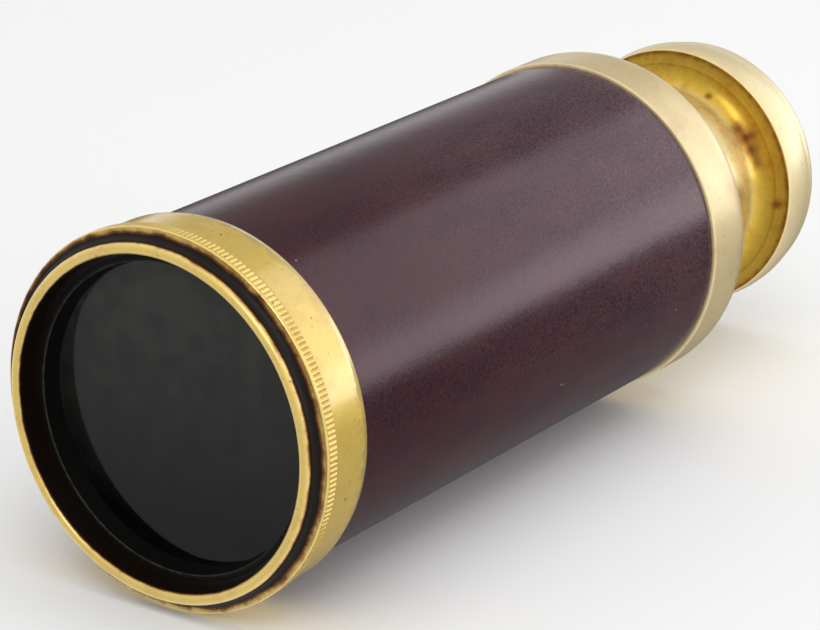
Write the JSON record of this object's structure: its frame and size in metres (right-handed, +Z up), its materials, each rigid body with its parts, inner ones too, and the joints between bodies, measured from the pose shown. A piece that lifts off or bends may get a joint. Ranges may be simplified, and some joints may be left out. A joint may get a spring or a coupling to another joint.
{
  "type": "kaleidoscope",
  "caption": "Kaleidoscope in a brass and lacquer spyglass body: knurled turning object cell, mirror prism inside the barrel, and a sliding eyepiece.",
  "frame": {"origin": "on the axis of the tube, at the front lip of the object cell", "axes": "+Y along the tube from the object end to the eye end, +Z up with the tube lying level, +X across"},
  "size_m": [0.0472, 0.1256, 0.0472],
  "materials": {
    "brass": "satin turned brass, clear lacquered",
    "polished_brass": "polished brass",
    "lacquer": "dark maroon lacquer, satin gloss, finely mottled",
    "black": "matt black anodised",
    "smoked_glass": "dark smoked glass, polished",
    "clear_glass": "clear polished glass",
    "red_glass": "clear red glass",
    "amber_glass": "clear amber glass",
    "green_glass": "clear green glass",
    "blue_glass": "clear blue glass",
    "mirror": "silvered",
    "card": "black card, matt",
    "felt": "dark felt",
    "rubber": "black rubber band"
  },
  "bodies": {
    "barrel": {"barrel_tube": "brass", "barrel_sleeve": "lacquer", "front_collar": "brass", "rear_collar": "brass", "draw_bush": "brass", "draw_felt": "felt", "mirror_1": "mirror", "mirror_2": "mirror", "mirror_3": "mirror", "mirror_bands": "rubber", "front_mirror_plate": "card", "rear_mirror_plate": "card", "front_packing": "felt", "rear_packing": "felt"},
    "object_cell": {"cell_ring": "brass", "thrust_ring": "brass", "retaining_ring": "black", "front_window": "smoked_glass", "chip_spacer": "black", "rear_window": "clear_glass", "glass_chips_red": "red_glass", "glass_chips_amber": "amber_glass", "glass_chips_green": "green_glass", "glass_chips_blue": "blue_glass"},
    "eyepiece": {"draw_tube": "polished_brass", "draw_stop_ring": "brass", "eyepiece_body": "polished_brass", "eye_lens": "clear_glass", "lens_ring": "black", "eye_stop": "black"}
  },
  "joints": [
    {"name": "object_cell_spin", "type": "hinge", "parent": "barrel", "child": "object_cell", "pos_m": [0, 0, 0], "axis": [0, 1, 0], "continuous": true},
    {"name": "eyepiece_draw", "type": "slide", "parent": "barrel", "child": "eyepiece", "axis": [0, 1, 0], "range_m": [0, 0.01]}
  ]
}
